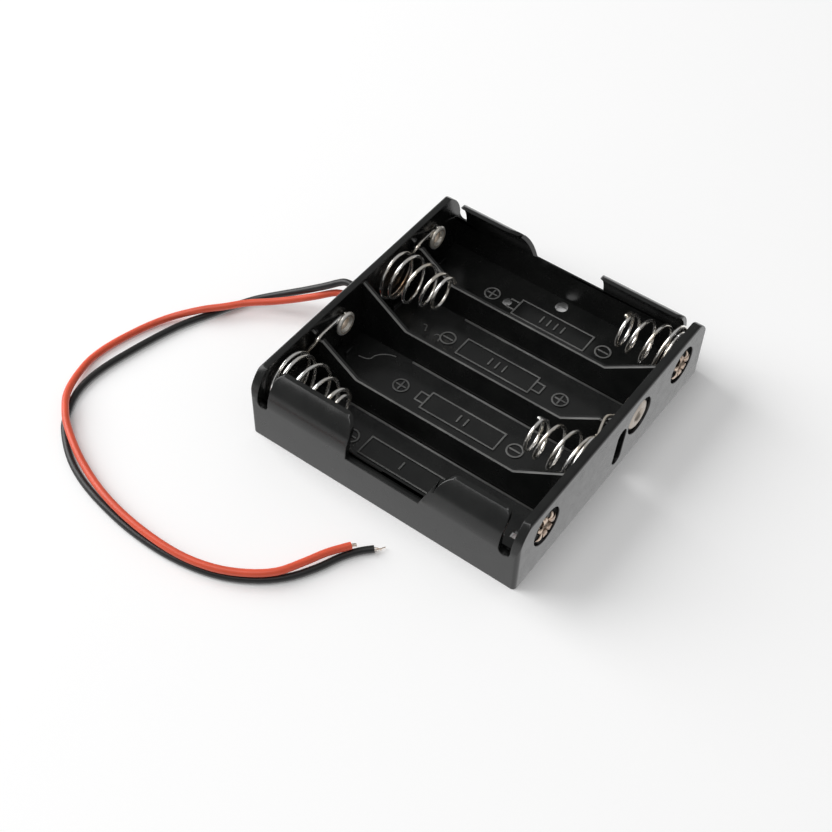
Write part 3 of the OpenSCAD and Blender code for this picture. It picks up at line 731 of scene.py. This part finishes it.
@dataclass
class Terminal:
    """A lead's end inside the tray: its tag, its solder and its run to the wall.

    Lengths are in millimetres. Side is -1 for cell 1 and 1 for cell 4. The drop stands at its
    (x, z) and is cut off at the tag's face.
    """

    colour: str
    cell: int
    side: int
    rise_x: float
    upper: list[Point]
    core_r: float = 0.3
    drop_r: float = 0.7
    drop_at: tuple[float, float] = (26.23, 2.95)
    tag_x: float = 26.61

    def run(self) -> list[Vector]:
        """Runs the lead from its tag, under the floor and up to the hole in the left wall."""
        y, s, rib, z = cell_y(self.cell), self.side, rib_y(2 + self.side), CHANNEL_Z
        low = [(24.95, y, 1.65), (24.85, y, z + 0.5), (24.35, y - s * 0.8, z),
               (20.05, rib + s * 1.3, z), (18.05, rib, z), (0, rib, z), (-18.05, rib, z),
               (-19.45, rib - s, z), (-self.rise_x + 0.9, EXIT_Y + s * 2.2, z),
               (-self.rise_x + 0.3, EXIT_Y + s * 0.75, z),
               (-self.rise_x, EXIT_Y + s * 0.05, z + 0.2), (-self.rise_x, EXIT_Y, z + 1)]
        return smooth_path(mm(low + self.upper), 6)

    def build(self, skin: bpy.types.Material, copper: bpy.types.Material,
              solder: bpy.types.Material) -> list[bpy.types.Object]:
        """Makes the run, its bare end and the drop of solder.

        Args:
            skin: the lead's insulation.
            copper: the bare strands.
            solder: the drop.

        Returns:
            The pieces.
        """
        y = cell_y(self.cell)
        node = self.colour + "_lead_run"
        bm = bmesh.new()
        sweep(bm, self.run(), LEAD_R * MM, 16)
        skinned = from_bmesh(node + "_skin", bm, skin)
        bm = bmesh.new()
        bare = [(24.95, y, 1.45), (25.25, y, 1.95), (25.93, y, 2.0), (26.2, y, 2.35),
                (26.22, y, 3.25)]
        sweep(bm, smooth_path(mm(bare), 5), self.core_r * MM, 12)
        core = from_bmesh(node + "_core", bm, copper)
        bm = bmesh.new()
        middle = Vector((self.drop_at[0], y, self.drop_at[1])) * MM
        bmesh.ops.create_icosphere(bm, subdivisions=3, radius=self.drop_r * MM,
                                   matrix=Matrix.Translation(middle))
        cut = bmesh.ops.bisect_plane(bm, geom=bm.verts[:] + bm.edges[:] + bm.faces[:],
                                     plane_co=Vector((self.tag_x, 0, 0)) * MM,
                                     plane_no=(1, 0, 0), clear_outer=True)["geom_cut"]
        bmesh.ops.holes_fill(bm, edges=[g for g in cut if isinstance(g, bmesh.types.BMEdge)])
        drop = from_bmesh("solder_drop_" + self.colour, bm, solder)
        for obj, name in ((skinned, node), (core, node), (drop, "solder_joint_" + self.colour)):
            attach(obj, "holder")
            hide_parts(name)
        return [skinned, core, drop]


def terminals() -> list[Terminal]:
    """Lists the two lead ends inside the tray."""
    return [
        Terminal("red", 1, -1, 25.95, [(-25.95, EXIT_Y, 4.4), (-26.35, 1.4, 5.7),
                                       (-27.15, 1.25, 6.3), (-27.95, 1.25, RED_Z),
                                       (-OUT_X, 1.25, RED_Z)]),
        Terminal("black", 4, 1, 24.35, [(-24.35, EXIT_Y, 5), (-24.45, EXIT_Y, 7.4),
                                        (-25.45, EXIT_Y, 8.9), (-IN_X, 1.55, BLACK_Z),
                                        (-27.85, 1.55, BLACK_Z), (-OUT_X, 1.55, BLACK_Z)]),
    ]


def is_painted_highlight(middle: Vector, normal: Vector) -> bool:
    """Tells whether a face gets the painted highlight: on top of a raised mark, or on the strip of
    a rib's top that is painted lighter as the highlight on its edge.
    """
    if SIGN_TOP[0] < middle.z < SIGN_TOP[1]:
        return normal.z > 0.5
    on_strip = any(RIB_STRIP[0] < middle.y - rib_y(n) < RIB_STRIP[1] for n in RIBS)
    return on_strip and middle.z > RIB_TOP_Z and abs(middle.x) < IN_X and normal.z > 0.2


@dataclass
class FloorMarks:
    """Fine raised lines that the mould left on the floor, and beads along the ribs' feet that
    stand for a small fillet there; all take a lighter finish that paints the highlights catching
    on them.

    Lengths are in millimetres. Points are (x, y) on the floor. Feet start at the given X, one
    for each rib, and run beside its middle.
    """

    wave: tuple[tuple[float, float], ...] = (
        (-23.7, -6.4), (-22.4, -6.15), (-21.5, -5.6), (-21.2, -4.5), (-20.3, -3.4),
        (-19.1, -2.65), (-17.85, -2.3))
    nick: tuple[tuple[float, float], ...] = (
        (-18.7, 7.8), (-18.1, 7.9), (-17.8, 7.35), (-17.5, 6.45))
    hook: tuple[tuple[float, float], ...] = (
        (-15.4, 6.55), (-15.1, 7.15), (-14.35, 7.05), (-13.9, 5.75))
    foot_starts: tuple[float, float, float] = (-18.6, -14.5, -13.0)
    foot_end: float = 24.5
    foot_off: float = 1.5
    line_r: float = 0.13
    bead_r: float = 0.24

    def build(self, plastic: bpy.types.Material) -> bpy.types.Object:
        """Makes all the lines as one piece, half sunk in the floor, in the finish passed in, which
        paints their highlights.
        """
        bm = bmesh.new()
        for line in (self.wave, self.nick, self.hook):
            sweep(bm, smooth_path(mm([(x, y, FLOOR_Z) for x, y in line]), 8), self.line_r * MM, 8)
        for n, start in zip(RIBS, self.foot_starts):
            y = rib_y(n) - self.foot_off
            sweep(bm, mm([(start, y, FLOOR_Z), (self.foot_end, y, FLOOR_Z)]), self.bead_r * MM, 12)
        obj = from_bmesh("floor_marks", bm, plastic)
        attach(obj, "holder")
        return obj


@dataclass
class Lead:
    """One free lead: a round tube along its route, in millimetres, with bare strands at its end.

    Strands are their (length, side bend, drop) beyond the end of the route. They stand round
    the middle line at bundle_r, and start that far inside the tube that sunk says.
    """

    name: str
    route: list[Point]
    strands: list[tuple[float, float, float]]
    strand_r: float
    bundle_r: float = 0.22
    sunk: float = 0.3

    def path(self) -> list[Vector]:
        """Runs the lead's middle line, kept on the table."""
        path = smooth_path(mm(self.route), 4)
        for point in path:
            point.z = max(point.z, LEAD_R * MM)
        return path

    def tip(self, copper: bpy.types.Material) -> bpy.types.Object:
        """Makes the bare strands."""
        before, end = self.path()[-2:]
        way = (end - before).normalized()
        across = way.cross(Vector((0, 0, 1))).normalized()
        bm = bmesh.new()
        for k, (length, bend, drop) in enumerate(self.strands):
            a = math.tau * k / len(self.strands)
            foot = end + (across * math.cos(a) + Vector((0, 0, math.sin(a)))) * self.bundle_r * MM
            line = [foot - way * self.sunk * MM]
            for t in (0.0, 0.35, 0.7, 1.0):
                line.append(foot + (way * length * t + across * bend * t * t
                                    - Vector((0, 0, drop * t * t))) * MM)
            sweep(bm, smooth_path(line, 4), self.strand_r * MM, 8)
        obj = from_bmesh(self.name.replace("lead", "strands"), bm, copper)
        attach(obj, "holder")
        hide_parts(self.name.replace("lead", "tip"))
        return obj

    def build(self, skin: bpy.types.Material, copper: bpy.types.Material) -> bpy.types.Object:
        """Args:
            skin: the insulation.
            copper: the bare strands.

        Returns:
            The tube.
        """
        path = self.path()
        curve = bpy.data.curves.new(self.name + "_skin", "CURVE")
        curve.dimensions = "3D"
        curve.bevel_depth = LEAD_R * MM
        curve.bevel_resolution = 4
        curve.use_fill_caps = True
        spline = curve.splines.new("POLY")
        spline.points.add(len(path) - 1)
        for target, point in zip(spline.points, path):
            target.co = (*point, 1)
        curve.materials.append(skin)
        obj = place(bpy.data.objects.new(self.name + "_skin", curve))
        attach(obj, "holder")
        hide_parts(self.name)
        self.tip(copper)
        return obj


RED_ROUTE = [
    (-28.77, 1.25, RED_Z), (-29.8, 1.25, RED_Z), (-31.5, 1.2, 6.6), (-34.5, 0.8, 6.3),
    (-38, -1.8, 5.2), (-41.5, -4.2, 4.1), (-45, -6.5, 3.2), (-49, -9.3, 2.6), (-52, -12.6, 2.4),
    (-55.3, -15.9, 2.1), (-59.7, -20.9, 1), (-62.5, -27.7, 0.7), (-64, -35.5, 0.7),
    (-63, -41.2, 1.2), (-60.6, -46.5, 2), (-57.5, -50, 2.3), (-54.4, -52.4, 2.2),
    (-48.6, -55.6, 1.9), (-42, -58.2, 1.8), (-35.4, -59.9, 2), (-27.9, -60.8, 2.1),
    (-20.1, -60.7, 2.1), (-13.6, -59.3, 2.2), (-8.4, -56.7, 2.2), (-4.5, -53.4, 2.2),
    (-2.2, -49.1, 2), (-0.3, -45.2, 2), (2.1, -41.6, 2)]
BLACK_ROUTE = [
    (-28.77, 1.55, BLACK_Z), (-29.7, 1.57, 9.33), (-31, 1.7, 9.51), (-33, 1.7, 9.34),
    (-34.5, 1.2, 8.65), (-36.6, 0.05, 7.45), (-40.6, -1.7, 5.2), (-45, -3.6, 2.9),
    (-49, -6.1, 1.2), (-51.3, -9.2, 0.7),
    (-53.7, -14.2, 0.7), (-56.8, -21, 0.7), (-59.4, -30.9, 0.7), (-60.7, -38.9, 0.7),
    (-60.1, -44.9, 0.7), (-57.4, -50.2, 0.7), (-54.8, -53.1, 0.7), (-49.8, -56.6, 0.7),
    (-43.9, -59, 0.7), (-36.6, -60.6, 0.7), (-29.2, -61.4, 0.7), (-21.3, -61.2, 0.7),
    (-13.7, -59.6, 0.7), (-7.8, -56.7, 0.7), (-3.3, -52.8, 0.7), (-0.4, -48.3, 0.7),
    (1.5, -44, 0.7), (3.2, -41.2, 0.7), (5.1, -39.1, 0.7)]


@dataclass
class Studio:
    """Camera, lights, floor and world, with lengths in metres."""

    camera_at: Vector = field(default_factory=lambda: Vector((89.69, -148.83, 204.05)) * MM)
    look_at: Vector = field(default_factory=lambda: Vector((-7.077, -10.51, 0.0)) * MM)
    roll_deg: float = 1.873
    lens: float = 61.90
    sensor: float = 36
    floor_size: float = 3.0
    floor_glow: float = 0.1
    world_glow: float = 0.32

    def camera(self) -> None:
        """Places the camera."""
        data = bpy.data.cameras.new("camera")
        data.lens = self.lens
        data.sensor_width = self.sensor
        data.clip_start = 0.01
        data.clip_end = 10
        obj = place(bpy.data.objects.new("camera", data))
        z = (self.camera_at - self.look_at).normalized()
        x = Vector((0, 0, 1)).cross(z).normalized()
        y = z.cross(x)
        roll = math.radians(self.roll_deg)
        x2 = math.cos(roll) * x + math.sin(roll) * y
        y2 = -math.sin(roll) * x + math.cos(roll) * y
        turn = Matrix((x2, y2, z)).transposed().to_4x4()
        obj.matrix_world = Matrix.Translation(self.camera_at) @ turn
        bpy.context.scene.camera = obj

    def area(self, name: str, at: Point, size: tuple[float, float], power: float) -> None:
        """Adds a soft white rectangular lamp that faces the tray.

        Args:
            name: the lamp's name.
            at: its place, in metres.
            size: its two sides, in metres.
            power: its power, in watts.
        """
        data = bpy.data.lights.new(name, "AREA")
        data.shape = "RECTANGLE"
        data.size, data.size_y = size
        data.energy = power
        obj = place(bpy.data.objects.new(name, data))
        obj.location = at
        obj.rotation_euler = (Vector(at) * -1).to_track_quat("-Z", "Y").to_euler()

    def lights(self) -> None:
        """Places the lamps."""
        self.area("key_left", (-1.2, -0.24, 0.84), (1.2, 1.2), 19.5)
        self.area("window_above", (-0.1, -0.32, 1.2), (0.68, 0.5), 3.4)

    def floor(self) -> None:
        """Lays the pale floor, plain white to the camera and in reflections."""
        bm = bmesh.new()
        bmesh.ops.create_grid(bm, x_segments=1, y_segments=1, size=self.floor_size)
        sh = Shader("floor")
        sh.set(Base_Color=(0.93, 0.93, 0.93, 1), Roughness=0.9, Emission_Color=(1, 1, 1, 1))
        path = sh.node("ShaderNodeLightPath")
        seen = sh.node("ShaderNodeMath", operation="MAXIMUM")
        sh.link(path.outputs["Is Glossy Ray"], seen.inputs[0])
        sh.link(path.outputs["Is Transmission Ray"], seen.inputs[1])
        glow = sh.node("ShaderNodeEmission")
        glow.inputs["Strength"].default_value = 1.0
        mix = sh.node("ShaderNodeMixShader")
        out = sh.tree.nodes["Material Output"]
        sh.link(seen.outputs["Value"], mix.inputs["Fac"])
        sh.link(sh.shader.outputs["BSDF"], mix.inputs[1])
        sh.link(glow.outputs["Emission"], mix.inputs[2])
        sh.link(mix.outputs["Shader"], out.inputs["Surface"])
        lift = sh.node("ShaderNodeMath", operation="MULTIPLY")
        lift.inputs[1].default_value = self.floor_glow
        sh.link(path.outputs["Is Camera Ray"], lift.inputs[0])
        sh.link(lift.outputs["Value"], sh.shader.inputs["Emission Strength"])
        obj = from_bmesh("floor", bm, sh.material, smooth=False)

    def world(self) -> None:
        """Sets a plain white world."""
        world = bpy.data.worlds.new("world")
        world.use_nodes = True
        back = world.node_tree.nodes["Background"]
        back.inputs["Color"].default_value = (1, 1, 1, 1)
        back.inputs["Strength"].default_value = self.world_glow
        bpy.context.scene.world = world

    def build(self) -> None:
        """Builds the whole studio."""
        self.camera()
        self.lights()
        self.floor()
        self.world()
        bpy.context.scene.view_settings.view_transform = "Standard"


def main() -> None:
    """Builds every piece in order."""
    logging.basicConfig(level=logging.INFO, format="%(name)s: %(message)s")
    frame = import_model()
    Studio().build()
    nodes = frame["nodes"]
    plastic = MouldedBlack().make()
    # A lighter black that paints the highlights on the ribs' top edges, the tops of the raised
    # marks and the floor lines
    highlight_black = MouldedBlack("painted_highlight_black", (0.09, 0.09, 0.088), (0.15, 0.15, 0.145), 0.36).make()
    wire = Plated("spring_nickel", colour=(0.97, 0.96, 0.94), roughness=0.1, metallic=0.94).make()
    stained = Plated("stained_nickel", colour=(0.97, 0.96, 0.94), roughness=0.1, metallic=0.94,
                     stain_at=(-25.9, 11.0, 6.3), stain_reach=3.6).make()
    plate = Plated("eyelet_nickel", colour=(0.99, 0.96, 0.9), warm=(0.86, 0.79, 0.68),
                   roughness=0.26, metallic=0.5, grain=0.1).make()
    # A darker, warmer nickel for the right rolled eyelet, toned down all over
    dull = Plated("darkened_nickel", colour=(0.44, 0.39, 0.34), warm=(0.26, 0.21, 0.17),
                  roughness=0.34, grain=0.2).make()
    bore = Plated("bore_dull", colour=(0.56, 0.49, 0.41), warm=(0.38, 0.3, 0.23), roughness=0.38,
                  metallic=0.4, grain=0.1).make()
    star = Plated("star_plate", colour=(0.7, 0.56, 0.45), warm=(0.3, 0.21, 0.16),
                  roughness=0.3, grain=0.2).make()
    tin = Plated("tag_tin", colour=(0.8, 0.79, 0.76), warm=(0.66, 0.6, 0.5), roughness=0.34).make()
    copper = Plated("bare_copper", colour=(0.9, 0.72, 0.58), warm=(0.86, 0.8, 0.74),
                    roughness=0.25).make()
    skins = {"red": LeadSkin("red_skin", (0.82, 0.105, 0.046)).make(),
             "black": LeadSkin("black_skin", (0.012, 0.012, 0.0125)).make()}
    for lead in (Lead("red_lead", RED_ROUTE, [(0.9, 0.05 * k, 0.1) for k in range(4)], 0.13),
                 Lead("black_lead", BLACK_ROUTE, [(2.0, -0.5, 0.3), (1.2, 0.5, 0.2)], 0.11)):
        log.info("made %s", lead.build(skins[lead.name.split("_")[0]], copper).name)
    body = rounded_copy(nodes["tray"], "tray_body", [plastic, highlight_black], TRAY_ROUND * MM, is_painted_highlight)
    log.info("made %s and %s", body.name, FloorMarks().build(highlight_black).name)
    for spring in contact_springs():
        finish = stained if spring.node.endswith("34") else wire
        log.info("made %s", ", ".join(piece.name for piece in spring.build(finish)))
    for eyelet in eyelets():
        finish = star if eyelet.tail is Tail.STAR else plate if eyelet.side < 0 else dull
        log.info("made %s", eyelet.build(finish, bore).name)
    for terminal in terminals():
        made = terminal.build(skins[terminal.colour], copper, tin)
        tag = rounded_copy(nodes["solder_tag_" + terminal.colour], terminal.colour + "_tag_plate",
                           [tin], TAG_ROUND * MM)
        log.info("made %s and %s", ", ".join(piece.name for piece in made), tag.name)


if __name__ == "__main__":
    main()
